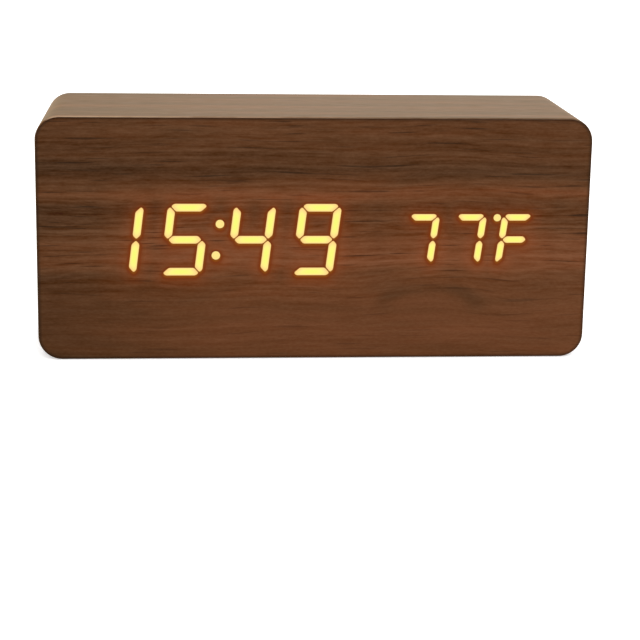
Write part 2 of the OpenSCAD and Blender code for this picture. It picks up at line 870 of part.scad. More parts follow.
module board_screws() {
    color("#b9bbbd")
    for (sx = [-1, 1], sz = [-1, 1])
        translate([control_x + sx * boss_x, y_control_front, mid_z + sz * boss_z])
            rotate([90, 0, 0])
                pan_screw(board_screw_d, pcb_t + cover_bite, 2 * board_screw_d, board_head_h);
}

module switch_housings() {
    color("#303135")
    difference() {
        for (i = [-1:1])
            block(control_x + i * button_pitch, button_z, switch_w, switch_w, y_control, y_switch);
        for (i = [-1:1])
            post(control_x + i * button_pitch, button_z, plunger_d + 4 * fit_gap,
                 y_switch - plunger_in - press - 0.2, y_switch + 1);
    }
}

module plunger(i) {
    color("#1d1d1f")
    post(control_x + i * button_pitch, button_z, plunger_d, y_switch - plunger_in, y_plunger);
}

module set_plunger() {
    plunger(-1);
}

module down_plunger() {
    plunger(0);
}

module up_plunger() {
    plunger(1);
}

// Cap with a flange behind the cover and a sunk mark on its face
module cap(i) {
    color("#3b3c40")
    translate([control_x + i * button_pitch, 0, button_z])
        difference() {
            union() {
                post(0, 0, flange_d, y_plunger, y_cover_in - flange_gap);
                post(0, 0, cap_d, y_plunger, y_cover_out + cap_proud - 0.3);
                translate([0, y_cover_out + cap_proud - 0.3, 0])
                    rotate([-90, 0, 0])
                        cylinder(d1 = cap_d, d2 = cap_d - 0.6, h = 0.3);
            }
            slab(y_cover_out + cap_proud - 0.25, y_cover_out + cap_proud + 1)
                children();
        }
}

module set_button() {
    cap(-1)
        square([2.6, 0.6], center = true);
}

module down_button() {
    cap(0)
        polygon([[-1.4, 0.9], [1.4, 0.9], [0, -1.3]]);
}

module up_button() {
    cap(1)
        polygon([[-1.4, -0.9], [1.4, -0.9], [0, 1.3]]);
}

module usb_shell() {
    color("#c5c8cb")
    difference() {
        block(usb_x, usb_z, usb_w, usb_h, y_control, y_usb);
        block(usb_x, usb_z, usb_w - 2 * usb_wall, usb_h - 2 * usb_wall, y_control + 1.5, y_usb + 1);
        for (s = [-1, 1])
            translate([usb_x + s * usb_w / 2, 0, usb_z - usb_h / 2])
                rotate([0, 45, 0])
                    translate([-0.35, y_control - 1, -0.35])
                        cube([0.7, boss_l + cover_t + 3, 0.7]);
    }
}

module usb_tongue() {
    color("#1a1a1c")
    block(usb_x, usb_z + 0.3, usb_w - 3.6, 0.6, y_control + 1.5, y_usb - 1);
}

module buzzer() {
    color("#151517")
    difference() {
        post(buzzer_x, buzzer_z, buzzer_d, y_control, y_cover_in - 0.6);
        post(buzzer_x, buzzer_z, 2, y_cover_in - 2.6, y_cover_in);
    }
}

module sound_sensor() {
    color("#b7babd")
    post(mic_x, mic_z, mic_d, y_control, y_control + 2.7);
}

// Bead on two leads close behind the vent
module heat_sensor() {
    color("#20262e")
    union() {
        translate([sensor_x, y_cover_in - 2, sensor_z])
            sphere(d = 2.4);
        for (s = [-1, 1])
            post(sensor_x + s * 0.7, sensor_z, 0.5, y_control, y_cover_in - 2);
    }
}

module capacitor() {
    color("#2a3040")
    post(capacitor_x, capacitor_z, capacitor_d, y_control, y_control + capacitor_l);
}

case_sleeve();
front_film();
lit_segments();
front_board();
screw_blocks();
diffuser_sheet();
reflector();
display_board();
segment_leds();
display_screws();
clock_chip();
driver_chip();
chip_pins();
quartz_crystal();
chip_resistors();
display_header();
ribbon_plugs();
ribbon_cable();
rear_cover();
cover_screws();
battery_door();
cell_top();
cell_middle();
cell_bottom();
contact_plates();
contact_springs();
positive_wire();
negative_wire();
control_board();
board_screws();
control_header();
switch_housings();
set_plunger();
up_plunger();
down_plunger();
set_button();
up_button();
down_button();
usb_shell();
usb_tongue();
buzzer();
sound_sensor();
heat_sensor();
capacitor();
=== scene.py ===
import math

import bmesh
import bpy
from mathutils import Matrix, Vector
from mathutils.bvhtree import BVHTree


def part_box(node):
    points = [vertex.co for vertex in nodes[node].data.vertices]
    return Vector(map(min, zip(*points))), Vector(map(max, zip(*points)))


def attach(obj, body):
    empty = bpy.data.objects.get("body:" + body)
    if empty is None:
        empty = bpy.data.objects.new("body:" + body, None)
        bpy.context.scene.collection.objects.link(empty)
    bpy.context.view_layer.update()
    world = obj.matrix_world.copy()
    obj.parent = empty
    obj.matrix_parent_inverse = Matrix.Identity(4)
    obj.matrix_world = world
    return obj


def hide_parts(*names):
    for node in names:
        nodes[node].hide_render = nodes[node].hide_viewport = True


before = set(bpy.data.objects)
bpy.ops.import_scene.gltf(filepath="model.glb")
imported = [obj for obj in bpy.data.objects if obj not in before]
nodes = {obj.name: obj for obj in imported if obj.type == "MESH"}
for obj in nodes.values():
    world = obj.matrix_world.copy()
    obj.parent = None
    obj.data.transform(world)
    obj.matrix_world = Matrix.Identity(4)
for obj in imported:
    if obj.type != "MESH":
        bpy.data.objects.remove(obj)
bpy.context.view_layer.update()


# Case sleeve: MDF panels folded into a rounded tube and wrapped in printed walnut film.
# The wrap runs round the tube, so its grain turns every corner. The rear end is rebated
# for the cover, and a pale highlight is painted along the top of the front edge.
case_low, case_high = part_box("case_sleeve")
case_w = case_high.x - case_low.x
case_h = case_high.z - case_low.z
case_mid = (case_low.z + case_high.z) / 2
case_round = 0.0065
rim_w = 0.003
rebate_deep = 0.003
ledge_w = 0.002
front_edge = 0.00045
rear_edge = 0.0004
# A face of the rounded outside lies at most this far inside the case's box.
outside_deep = case_round / 3 + 0.0005


def rounded_plate(width, height, y, round_r):
    """A flat plate with rounded corners that looks to the front."""
    bm = bmesh.new()
    bmesh.ops.create_grid(bm, x_segments=1, y_segments=1, size=0.5)
    bmesh.ops.scale(bm, vec=(width, height, 1), verts=bm.verts)
    bmesh.ops.rotate(bm, cent=(0, 0, 0), matrix=Matrix.Rotation(math.pi / 2, 3, "X"), verts=bm.verts)
    bmesh.ops.translate(bm, vec=(0, y, case_mid), verts=bm.verts)
    bmesh.ops.bevel(bm, geom=bm.verts[:], offset=round_r, offset_type="OFFSET", segments=14,
                    profile=0.5, affect="VERTICES", material=-1)
    bm.faces.ensure_lookup_table()
    return bm


def moved(bm, step, result):
    """Moves the vertices that an operator has just made."""
    verts = [part for part in result["geom"] if isinstance(part, bmesh.types.BMVert)]
    bmesh.ops.translate(bm, vec=step, verts=verts)


def sunk(bm, face, deep):
    """Pushes a face in along -Y, leaves walls behind it, and returns its new floor."""
    made = bmesh.ops.extrude_face_region(bm, geom=[face])
    moved(bm, (0, -deep, 0), made)
    bmesh.ops.delete(bm, geom=[face], context="FACES_ONLY")
    return next(part for part in made["geom"] if isinstance(part, bmesh.types.BMFace))


def wrap_distance(x, z, side):
    """How far a point lies from the middle of the top, along the outside of the sleeve."""
    flat_w = case_w / 2 - case_round
    flat_h = case_h / 2 - case_round
    turn = case_round * math.pi / 2
    x, z = abs(x), z - case_mid
    if x <= flat_w:
        run = x if z > 0 else flat_w * 2 + flat_h * 2 + turn * 2 - x
    elif z >= flat_h:
        run = flat_w + case_round * math.atan2(x - flat_w, z - flat_h)
    elif z > -flat_h:
        run = flat_w + turn + flat_h - z
    else:
        run = flat_w + turn + flat_h * 2 + case_round * math.atan2(-flat_h - z, x - flat_w)
    return run * side


def piece(bm, name, body, slot, materials, *replaced):
    """Makes the mesh a piece of the object that rides on a body."""
    mesh = bpy.data.meshes.new(name)
    bm.to_mesh(mesh)
    bm.free()
    made = bpy.data.objects.new(name, mesh)
    bpy.context.scene.collection.objects.link(made)
    for material in materials:
        mesh.materials.append(material)
    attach(made, body)
    if replaced:
        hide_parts(*replaced)
    return made


def linear(code):
    """An sRGB hex colour as linear red, green, blue and alpha."""
    parts = [int(code[i:i + 2], 16) / 255 for i in (1, 3, 5)]
    return [p / 12.92 if p <= 0.04045 else ((p + 0.055) / 1.055) ** 2.4 for p in parts] + [1.0]


def blank(name):
    """A new material with an empty node tree."""
    material = bpy.data.materials.new(name)
    material.use_nodes = True
    material.node_tree.nodes.clear()
    return material, material.node_tree


def add(tree, kind, inputs, stops=(), **settings):
    """Adds a node, gives it its settings, and fills its inputs with values or links."""
    node = tree.nodes.new(kind)
    for key, value in settings.items():
        setattr(node, key, value)
    for key, value in inputs.items():
        if isinstance(value, bpy.types.NodeSocket):
            tree.links.new(value, node.inputs[key])
        else:
            node.inputs[key].default_value = value
    for count, (place, tone) in enumerate(stops):
        ramp = node.color_ramp.elements
        stop = ramp[count] if count < 2 else ramp.new(place)
        stop.position = place
        stop.color = linear(tone) if isinstance(tone, str) else (tone, tone, tone, 1)
    return node.outputs


def walnut_print(tree, sheet, band, bold):
    """Colour, roughness and normal of printed walnut: X of sheet runs along the grain, Y across it."""
    # The grain wanders up to 2 mm to either side, every 50 mm or so.
    slow = add(tree, "ShaderNodeMapping", {"Vector": sheet, "Scale": (1 / 0.050, 1 / 0.018, 1)})
    drift = add(tree, "ShaderNodeTexNoise", {"Vector": slow["Vector"], "Scale": 1.0, "Detail": 1.0})
    bent = add(tree, "ShaderNodeVectorMath", {0: drift["Fac"], 1: (0, 0.004, 0), 2: sheet},
               operation="MULTIPLY_ADD")["Vector"]
    # Soft clouds of tone, 30 mm by 3 mm, on broad bands.
    wide = add(tree, "ShaderNodeMapping", {"Vector": bent, "Scale": (1 / 0.030, 1 / 0.0030, 1)})
    cloud = add(tree, "ShaderNodeTexNoise", {"Vector": wide["Vector"], "Scale": 1.0, "Detail": 2.0})
    tone = add(tree, "ShaderNodeMath", {0: cloud["Fac"], 1: 0.35, 2: band}, operation="MULTIPLY_ADD")
    tone = add(tree, "ShaderNodeMath", {0: tone["Value"], 1: 0.195}, operation="SUBTRACT")
    wood = add(tree, "ShaderNodeValToRGB", {"Fac": tone["Value"]}, stops=(
        (0.10, "#3b2311"), (0.36, "#4d2e18"), (0.55, "#5b361e"), (0.75, "#693e25"), (0.95, "#7a4b31")))
    # Long streaks, 90 mm by 1.2 mm, and fibres, 6 mm by 0.9 mm, lie over it as lighter and darker tan.
    drawn = add(tree, "ShaderNodeMapping", {"Vector": bent, "Scale": (1 / 0.090, 1 / 0.0012, 1)})
    streak = add(tree, "ShaderNodeTexNoise",
                 {"Vector": drawn["Vector"], "Scale": 1.0, "Detail": 2.0, "Roughness": 0.5})
    long_cut = add(tree, "ShaderNodeMapping", {"Vector": bent, "Scale": (1 / 0.006, 1 / 0.0009, 1)})
    fibre = add(tree, "ShaderNodeTexNoise",
                {"Vector": long_cut["Vector"], "Scale": 1.0, "Detail": 4.0, "Roughness": 0.55})
    lines = add(tree, "ShaderNodeMath", {0: streak["Fac"], 1: fibre["Fac"]}, operation="ADD")
    lines = add(tree, "ShaderNodeMath", {0: lines["Value"], 1: 1.0}, operation="SUBTRACT")
    lines = add(tree, "ShaderNodeMath", {0: lines["Value"], 1: bold}, operation="MULTIPLY")
    # Short flecks, 1.2 mm by 0.45 mm, break the lines up.
    flecked = add(tree, "ShaderNodeMapping", {"Vector": bent, "Scale": (1 / 0.0012, 1 / 0.00045, 1)})
    fleck = add(tree, "ShaderNodeTexNoise", {"Vector": flecked["Vector"], "Scale": 1.0, "Detail": 1.0})
    fleck = add(tree, "ShaderNodeMath", {0: fleck["Fac"], 1: 0.5}, operation="SUBTRACT")
    lines = add(tree, "ShaderNodeMath", {0: fleck["Value"], 1: 0.40, 2: lines["Value"]},
                operation="MULTIPLY_ADD")
    wood = add(tree, "ShaderNodeMix", {"Factor": lines["Value"], 6: wood["Color"], 7: linear("#4f3c2d")},
               data_type="RGBA", blend_type="ADD", clamp_factor=False, clamp_result=True)
    # Open pores are sparse dark dashes, up to 20 mm long and a quarter of a millimetre wide.
    short_cut = add(tree, "ShaderNodeMapping", {"Vector": bent, "Scale": (1 / 0.020, 1 / 0.0008, 1),
                                                "Location": (3.7, 1.3, 0)})
    pore = add(tree, "ShaderNodeTexNoise",
               {"Vector": short_cut["Vector"], "Scale": 1.0, "Detail": 2.0, "Roughness": 0.5})
    dash = add(tree, "ShaderNodeMapRange",
               {"Value": pore["Fac"], "From Min": 0.39, "From Max": 0.31, "To Min": 0.0, "To Max": 0.75})
    dash = add(tree, "ShaderNodeMath", {0: dash["Result"], 1: bold}, operation="MULTIPLY")
    colour = add(tree, "ShaderNodeMix", {"Factor": dash["Value"], 6: wood[2], 7: linear("#989894")},
                 data_type="RGBA", blend_type="MULTIPLY")
    rough = add(tree, "ShaderNodeMapRange", {"Value": fibre["Fac"], "From Min": 0.3, "From Max": 0.7,
                                             "To Min": 0.50, "To Max": 0.42})
    relief = add(tree, "ShaderNodeBump", {"Height": fibre["Fac"], "Strength": 0.25, "Distance": 0.00005})
    return colour[2], rough["Result"], relief["Normal"]


def fibre_board(name, dark, light):
    """MDF: pressed fibres, matt, with a faint felt of light specks 0.6 mm across."""
    board, tree = blank(name)
    place = add(tree, "ShaderNodeTexCoord", {})["Object"]
    felt = add(tree, "ShaderNodeTexNoise",
               {"Vector": place, "Scale": 1 / 0.0006, "Detail": 3.0, "Roughness": 0.7})
    colour = add(tree, "ShaderNodeValToRGB", {"Fac": felt["Fac"]}, stops=((0.3, dark), (0.7, light)))
    relief = add(tree, "ShaderNodeBump", {"Height": felt["Fac"], "Strength": 0.3, "Distance": 0.0001})
    shader = add(tree, "ShaderNodeBsdfPrincipled",
                 {"Base Color": colour["Color"], "Roughness": 0.85, "Normal": relief["Normal"]})
    add(tree, "ShaderNodeOutputMaterial", {"Surface": shader["BSDF"]})
    return board


bm = rounded_plate(case_w, case_h, case_high.y, case_round)
rear = bm.faces[0]
bmesh.ops.inset_region(bm, faces=[rear], thickness=rim_w, use_boundary=True, use_even_offset=True)
rear = sunk(bm, rear, rebate_deep)
bmesh.ops.inset_region(bm, faces=[rear], thickness=ledge_w, use_boundary=True, use_even_offset=True)
rear = sunk(bm, rear, case_high.y - case_low.y - rebate_deep)
bmesh.ops.delete(bm, geom=[rear], context="FACES_ONLY")
outer = [edge for edge in bm.edges if edge.is_boundary and edge.verts[0].co.y > 0]
moved(bm, (0, case_low.y - case_high.y, 0), bmesh.ops.extrude_edge_only(bm, edges=outer))
bmesh.ops.bridge_loops(bm, edges=[edge for edge in bm.edges if edge.is_boundary])
bmesh.ops.recalc_face_normals(bm, faces=bm.faces)
for end_y, soft in ((case_low.y, front_edge), (case_high.y, rear_edge)):
    ends = [edge for edge in bm.edges if edge.calc_face_angle(0) > 1
            and all(abs(vert.co.y - end_y) < 1e-6 for vert in edge.verts)]
    bmesh.ops.bevel(bm, geom=ends, offset=soft, offset_type="OFFSET", segments=3, profile=0.5,
                    affect="EDGES", material=-1)
# The film's seam and its middle line lie on X = 0, so no face of the grain map crosses them.
bmesh.ops.bisect_plane(bm, geom=bm.verts[:] + bm.edges[:] + bm.faces[:],
                       plane_co=(0, 0, 0), plane_no=(1, 0, 0))
grain_map = bm.loops.layers.uv.new("grain")
for face in bm.faces:
    face.smooth = True
    middle = face.calc_center_median()
    inwards = min(case_w / 2 - abs(middle.x), case_h / 2 - abs(middle.z - case_mid))
    wrapped = inwards < outside_deep and middle.y < case_high.y - rear_edge
    face.material_index = 0 if wrapped else 1
    for loop in face.loops:
        spot = loop.vert.co
        loop[grain_map].uv = (wrap_distance(spot.x, spot.z, 1 if middle.x > 0 else -1), spot.y)

# Printed walnut film on the sleeve: satin lacquer that goes pale at a low angle, fine grain.
sleeve_film, tree = blank("walnut_film_wrap")
wrap = add(tree, "ShaderNodeUVMap", {}, uv_map="grain")["UV"]
# Its bands of tone are about 120 mm long and 7 mm wide.
plank = add(tree, "ShaderNodeMapping",
            {"Vector": wrap, "Location": (0.31, 0.12, 0), "Scale": (1 / 0.12, 1 / 0.007, 1)})
band = add(tree, "ShaderNodeTexNoise", {"Vector": plank["Vector"], "Scale": 1.0, "Detail": 1.0})
band = add(tree, "ShaderNodeMapRange",
           {"Value": band["Fac"], "From Min": 0.3, "From Max": 0.7, "To Min": 0.2, "To Max": 0.7})
colour, rough, normal = walnut_print(tree, wrap, band["Result"], 1.1)
# Painted highlight: a pale line is painted along the top of the front edge, in patches, most on the left.
highlight_from, highlight_full = case_high.z - 0.0014, case_high.z - 0.0005
highlight_left, highlight_right = -0.07, 0.03
place = add(tree, "ShaderNodeTexCoord", {})["Object"]
axes = add(tree, "ShaderNodeSeparateXYZ", {"Vector": place})
trim = add(tree, "ShaderNodeMapRange", {"Value": axes["Y"], "From Min": case_low.y + front_edge,
                                        "From Max": case_low.y + front_edge * 0.6})
above = add(tree, "ShaderNodeMapRange", {"Value": axes["Z"], "From Min": highlight_from, "From Max": highlight_full})
left = add(tree, "ShaderNodeMapRange", {"Value": axes["X"], "From Min": highlight_left, "From Max": highlight_right,
                                        "To Min": 0.9, "To Max": 0.25})
# The painted highlight breaks into patches along the edge.
highlight_breaks = add(tree, "ShaderNodeTexNoise", {"Vector": place, "Scale": 1 / 0.006, "Detail": 3.0})
bare = add(tree, "ShaderNodeMapRange", {"Value": highlight_breaks["Fac"], "From Min": 0.38, "From Max": 0.62,
                                        "To Min": 0.6, "To Max": 1.0})
edge_highlight = add(tree, "ShaderNodeMath", {0: trim["Result"], 1: above["Result"]}, operation="MULTIPLY")
edge_highlight = add(tree, "ShaderNodeMath", {0: edge_highlight["Value"], 1: left["Result"]}, operation="MULTIPLY")
edge_highlight = add(tree, "ShaderNodeMath", {0: edge_highlight["Value"], 1: bare["Result"]}, operation="MULTIPLY")
# The painted highlight's pale colour is mixed into the wood here.
colour = add(tree, "ShaderNodeMix", {"Factor": edge_highlight["Value"], 6: colour, 7: linear("#b3957a")},
             data_type="RGBA")[2]
shader = add(tree, "ShaderNodeBsdfPrincipled", {
    "Base Color": colour, "Roughness": rough, "Normal": normal,
    "Specular IOR Level": 0.05, "Specular Tint": linear("#ffeccb"),
    "Sheen Weight": 0.23, "Sheen Roughness": 0.6, "Sheen Tint": linear("#ffd795")})
add(tree, "ShaderNodeOutputMaterial", {"Surface": shader["BSDF"]})

stained_board = fibre_board("stained_mdf", "#3f2a19", "#5f432b")
sleeve = piece(bm, "walnut_sleeve", "case", "walnut_film", [sleeve_film, stained_board], "case_sleeve")
sleeve.modifiers.new("even_shading", "WEIGHTED_NORMAL")


# Front board and glue blocks: raw MDF. The board fills the sleeve's front end and has a slot
# milled for each segment. The blocks are glued into the corners and take the cover's screws.
def dress(material, *names):
    """Gives CAD nodes a material."""
    for name in names:
        nodes[name].material_slots[0].material = material


dress(fibre_board("raw_mdf", "#9a7c56", "#b8966a"), "front_board", "screw_blocks")


# Lit segments: the places where amber light comes through the film, a seven-segment time and
# temperature. Each is a flat spot with rounded corners, brightest along the middle of a bar.
lit_low, lit_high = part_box("lit_segments")
lit_y = lit_low.y
tip_round = 0.0005
spot_deep = 0.0002
dot_corners = 9
dot_rim, dot_core, bar_core = 0.16, 0.25, 1.0

lit = bmesh.new()
lit.from_mesh(nodes["lit_segments"].data)
core = lit.verts.layers.float.new("core")
bmesh.ops.remove_doubles(lit, verts=lit.verts, dist=1e-6)
bmesh.ops.delete(lit, geom=[face for face in lit.faces if face.normal.y > -0.9], context="FACES")
bmesh.ops.dissolve_limit(lit, angle_limit=0.02, verts=lit.verts, edges=lit.edges)
dots = [face for face in lit.faces if len(face.verts) >= dot_corners]
dot_middles = [face.calc_center_median() for face in dots]
for face in dots:
    for vert in face.verts:
        vert[core] = dot_rim
tips = [vert for face in lit.faces if len(face.verts) < dot_corners for vert in face.verts]
bmesh.ops.bevel(lit, geom=tips, offset=tip_round, offset_type="OFFSET", segments=3, profile=0.5,
                affect="VERTICES", material=-1, clamp_overlap=True)
bmesh.ops.dissolve_degenerate(lit, dist=tip_round / 100, edges=lit.edges)
lit_tree = BVHTree.FromBMesh(lit)
for vert in bmesh.ops.poke(lit, faces=lit.faces[:])["verts"]:
    on_dot = min((vert.co - middle).length for middle in dot_middles) < tip_round
    vert[core] = dot_core if on_dot else bar_core

# Light through the film: clear yellow in the middle, peach where the film's edge holds it back.
amber, tree = blank("amber_light_through_film")
inner = add(tree, "ShaderNodeAttribute", {}, attribute_name="core")
light = add(tree, "ShaderNodeValToRGB", {"Fac": inner["Fac"]}, stops=(
    (0.0, "#fccc78"), (0.12, "#fcde8c"), (0.35, "#fdf488"), (0.7, "#f6fb7a")))
shader = add(tree, "ShaderNodeBsdfPrincipled", {
    "Base Color": linear("#3a2410"), "Roughness": 0.5, "Specular IOR Level": 0.1,
    "Emission Color": light["Color"], "Emission Strength": 0.97})
add(tree, "ShaderNodeOutputMaterial", {"Surface": shader["BSDF"]})

digits = piece(lit, "lit_digits", "case", "lit_film", [amber], "lit_segments")
spot = digits.modifiers.new("film_depth", "SOLIDIFY")
spot.thickness = spot_deep
spot.offset = -1


# Front film: one sheet of the same walnut print, laid over the front board and trimmed just
# inside the sleeve's edge. It is thin enough for light, which reddens the wood round the digits.
film_low, film_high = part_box("front_film")
film_in = 0.0003
film_back = 0.00005
# The film's rim carries painted shade, which fades inwards over this width.
rim_shade_width = 0.0009
# Close to the digits the sheet is a fine grid, so that it can hold how far the light is away.
glow_reach = 0.003
glow_cell = 0.00027
glow_drop = 0.0004
glow_end = 0.012

film_y = film_low.y + film_back
bm = rounded_plate(case_w - film_in * 2, case_h - film_in * 2, film_y, case_round - film_in)
sheet_face = bm.faces[0]
bmesh.ops.inset_region(bm, faces=[sheet_face], thickness=rim_shade_width, use_boundary=True, use_even_offset=True)
hole = sheet_face.edges[:]
bmesh.ops.delete(bm, geom=[sheet_face], context="FACES_ONLY")
glow_w = lit_high.x - lit_low.x + glow_reach * 2
glow_h = lit_high.z - lit_low.z + glow_reach * 2
glow_place = (Matrix.Translation(((lit_low.x + lit_high.x) / 2, film_y, (lit_low.z + lit_high.z) / 2))
              @ Matrix.Rotation(math.pi / 2, 4, "X") @ Matrix.Diagonal((glow_w, glow_h, 1, 1)))
field = bmesh.ops.create_grid(bm, x_segments=round(glow_w / glow_cell),
                              y_segments=round(glow_h / glow_cell), size=0.5, matrix=glow_place)
field_verts = set(field["verts"])
field_rim = [edge for edge in bm.edges if edge.is_boundary and edge.verts[0] in field_verts]
bmesh.ops.triangle_fill(bm, edges=hole + field_rim, use_beauty=True, normal=(0, -1, 0))
outer = [edge for edge in bm.edges if edge.is_boundary]
moved(bm, (0, film_high.y - film_y, 0), bmesh.ops.extrude_edge_only(bm, edges=outer))
bmesh.ops.holes_fill(bm, edges=[edge for edge in bm.edges if edge.is_boundary], sides=0)
bmesh.ops.recalc_face_normals(bm, faces=bm.faces)
away = bm.verts.layers.float.new("away")
rim_shade = bm.verts.layers.float.new("rim_shade")
for vert in bm.verts:
    vert[away] = lit_tree.find_nearest((vert.co.x, lit_y, vert.co.z + glow_drop))[3]
# Painted shade on the film's rim: 1 along its outline, fading inwards.
for edge in outer:
    for vert in edge.verts:
        vert[rim_shade] = 1.0

# Printed walnut film on the front: satin, with dark and red bands and an arched figure low on
# the right. Beside a lit segment it is dark with an orange glow, and further out faintly red.
film, tree = blank("walnut_film_front")
place = add(tree, "ShaderNodeTexCoord", {})["Object"]
# The grain bends up over the arch by 2.2 mm.
bend_x, bend_z, bend_w, bend_h, bend_rise = 0.033, 0.019, 0.024, 0.012, 0.0022
bend_at = add(tree, "ShaderNodeMapping", {"Vector": place, "Scale": (1 / bend_w, 0, 1 / bend_h),
                                          "Location": (-bend_x / bend_w, 0, -bend_z / bend_h)})
bend = add(tree, "ShaderNodeTexGradient", {"Vector": bend_at["Vector"]}, gradient_type="SPHERICAL")
bend = add(tree, "ShaderNodeMapRange", {"Value": bend["Fac"], "To Max": -bend_rise},
           interpolation_type="SMOOTHSTEP")
axes = add(tree, "ShaderNodeSeparateXYZ", {"Vector": place})
height = add(tree, "ShaderNodeMath", {0: bend["Result"], 1: axes["Z"]}, operation="ADD")
sheet = add(tree, "ShaderNodeCombineXYZ", {"X": axes["X"], "Y": height["Value"]})["Vector"]
# The bands sway 3 mm to either side, every 70 mm or so, and run from the bottom to the top.
band_sway = 0.006
wide = add(tree, "ShaderNodeMapping", {"Vector": sheet, "Scale": (1 / 0.07, 1 / 0.012, 1)})
sway = add(tree, "ShaderNodeTexNoise", {"Vector": wide["Vector"], "Scale": 1.0, "Detail": 2.0})
level = add(tree, "ShaderNodeMath", {0: sway["Fac"], 1: band_sway, 2: height["Value"]},
            operation="MULTIPLY_ADD")
share = add(tree, "ShaderNodeMapRange", {"Value": level["Value"], "From Min": band_sway / 2,
                                         "From Max": case_h + band_sway / 2})
band = add(tree, "ShaderNodeValToRGB", {"Fac": share["Result"]}, stops=(
    (0.00, 0.60), (0.12, 0.66), (0.28, 0.55), (0.36, 0.56), (0.40, 0.78), (0.49, 0.70), (0.58, 0.42),
    (0.64, 0.38), (0.69, 0.71), (0.73, 0.46), (0.78, 0.23), (0.83, 0.37), (1.00, 0.45)))
# Painted shade: the sheet is darker towards its left end, most of all low down.
left_shade_span = 0.05
left = add(tree, "ShaderNodeMapRange", {"Value": axes["X"], "From Min": case_low.x,
                                        "From Max": case_low.x + left_shade_span, "To Min": -0.20, "To Max": 0.0})
lower = add(tree, "ShaderNodeMapRange",
            {"Value": axes["Z"], "From Max": case_h, "To Min": 1.9, "To Max": 0.3})
band = add(tree, "ShaderNodeMath", {0: left["Result"], 1: lower["Result"], 2: band["Color"]},
           operation="MULTIPLY_ADD")
# The arch is a soft, uneven dark crest with plain wood under it.
arch_x, arch_z, arch_w, arch_h = 0.032, 0.0145, 0.013, 0.0057
arch_at = add(tree, "ShaderNodeMapping", {"Vector": place, "Scale": (1 / arch_w, 0, 1 / arch_h),
                                          "Location": (-arch_x / arch_w, 0, -arch_z / arch_h)})
arch_out = add(tree, "ShaderNodeVectorMath", {0: arch_at["Vector"]}, operation="LENGTH")["Value"]
beside = add(tree, "ShaderNodeMath", {0: arch_out, 1: 1.0}, operation="SUBTRACT")
beside = add(tree, "ShaderNodeMath", {0: beside["Value"]}, operation="ABSOLUTE")
crest = add(tree, "ShaderNodeMapRange",
            {"Value": beside["Value"], "From Max": 0.40, "To Min": -0.33, "To Max": 0.0},
            interpolation_type="SMOOTHSTEP")
upper = add(tree, "ShaderNodeMapRange",
            {"Value": axes["Z"], "From Min": arch_z - 0.002, "From Max": arch_z + 0.001})
torn = add(tree, "ShaderNodeMapping", {"Vector": sheet, "Scale": (1 / 0.016, 1 / 0.003, 1)})
torn = add(tree, "ShaderNodeTexNoise", {"Vector": torn["Vector"], "Scale": 1.0, "Detail": 2.0})
torn = add(tree, "ShaderNodeMath", {0: torn["Fac"], 1: upper["Result"]}, operation="MULTIPLY")
band = add(tree, "ShaderNodeMath", {0: crest["Result"], 1: torn["Value"], 2: band["Value"]},
           operation="MULTIPLY_ADD")
under = add(tree, "ShaderNodeMapRange",
            {"Value": arch_out, "From Min": 0.7, "From Max": 1.1, "To Min": 0.6, "To Max": 0.0})
# The grain is faint low down and boldest at the height of the digits.
bold = add(tree, "ShaderNodeValToRGB", {"Fac": share["Result"]}, stops=(
    (0.22, 0.50), (0.38, 1.15), (0.55, 1.3), (0.75, 0.95)))
bold = add(tree, "ShaderNodeMix", {"Factor": under["Result"], 2: bold["Color"], 3: 0.0}, data_type="FLOAT")
colour, rough, normal = walnut_print(tree, sheet, band["Value"], bold[0])
# Painted shade darkens the film's rim, where it meets the sleeve, and the film right beside the light is dark
# too.
trim = add(tree, "ShaderNodeAttribute", {}, attribute_name="rim_shade")
rim_shade_level = add(tree, "ShaderNodeMapRange", {"Value": trim["Fac"], "To Min": 1.0, "To Max": 0.3})
colour = add(tree, "ShaderNodeMix", {"Factor": 1.0, 6: colour, 7: rim_shade_level["Result"]},
             data_type="RGBA", blend_type="MULTIPLY")[2]
light_gap = add(tree, "ShaderNodeAttribute", {}, attribute_name="away")
reach = add(tree, "ShaderNodeMapRange", {"Value": light_gap["Fac"], "From Max": glow_end})["Result"]
shade = add(tree, "ShaderNodeValToRGB", {"Fac": reach}, stops=(
    (0.0, 0.02), (0.03, 0.10), (0.06, 0.40), (0.09, 0.75), (0.15, 1.0)))
colour = add(tree, "ShaderNodeMix", {"Factor": 1.0, 6: colour, 7: shade["Color"]},
             data_type="RGBA", blend_type="MULTIPLY")[2]
glow = add(tree, "ShaderNodeValToRGB", {"Fac": reach}, stops=(
    (0.0, "#864404"), (0.03, "#702c00"), (0.055, "#642400"), (0.08, "#582000"), (0.11, "#481a00"),
    (0.167, "#380e00"), (0.33, "#240900"), (1.0, "#000000")))
shader = add(tree, "ShaderNodeBsdfPrincipled", {
    "Base Color": colour, "Roughness": rough, "Normal": normal,
    "Specular IOR Level": 0.10, "Specular Tint": linear("#ffeccb"),
    "Emission Color": glow["Color"], "Emission Strength": 1.0})
add(tree, "ShaderNodeOutputMaterial", {"Surface": shader["BSDF"]})

piece(bm, "walnut_front", "case", "walnut_film", [film], "front_film")


